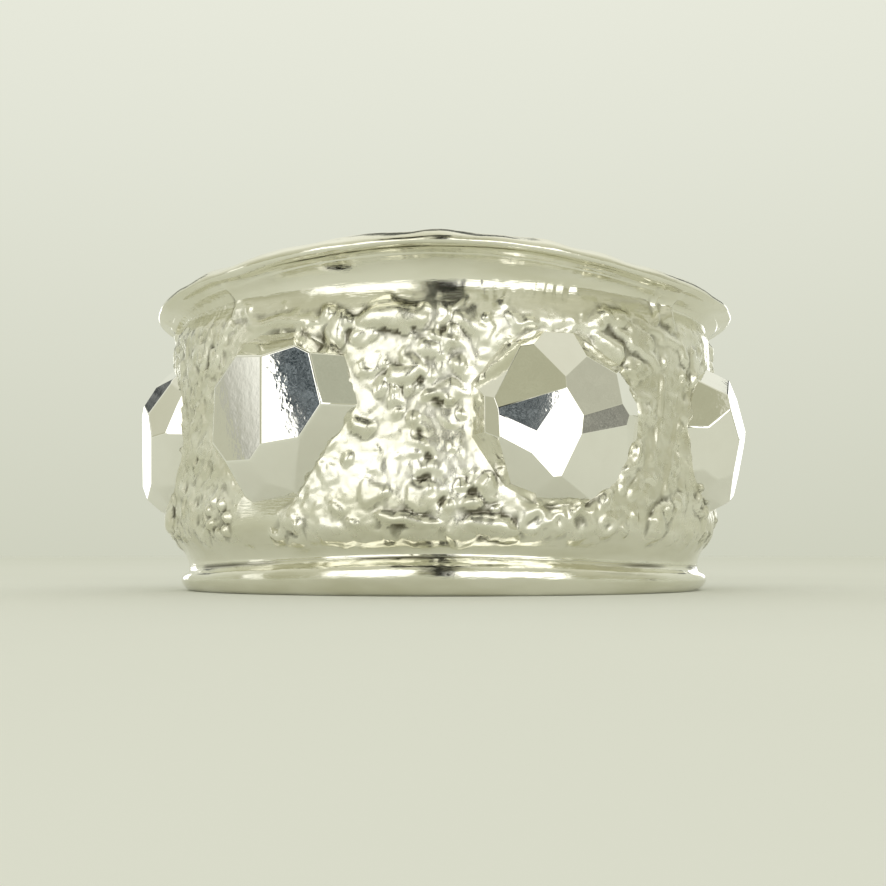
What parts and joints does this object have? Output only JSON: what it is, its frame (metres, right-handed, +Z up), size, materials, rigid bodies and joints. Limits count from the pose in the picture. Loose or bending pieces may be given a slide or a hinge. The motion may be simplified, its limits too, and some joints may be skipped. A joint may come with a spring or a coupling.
{
  "type": "finger ring",
  "caption": "Wide silver finger ring: a band between a rolled foot and a flared, hand-worked lip, with faceted domed bosses standing on a rough molten ground all round it.",
  "frame": {"origin": "centre of the lower rim's foot, on the finger's axis, on the surface that the ring lies on", "axes": "+Z up along the finger's axis, -Y towards the side that is seen first"},
  "size_m": [0.0233, 0.0232, 0.0117],
  "materials": {
    "silver": "bright silver, polished on the rims, coves and boss facets, fused and pebbled on the ground, darker in the creases"
  },
  "bodies": {
    "root": {"bossed_band": "silver"}
  },
  "joints": []
}
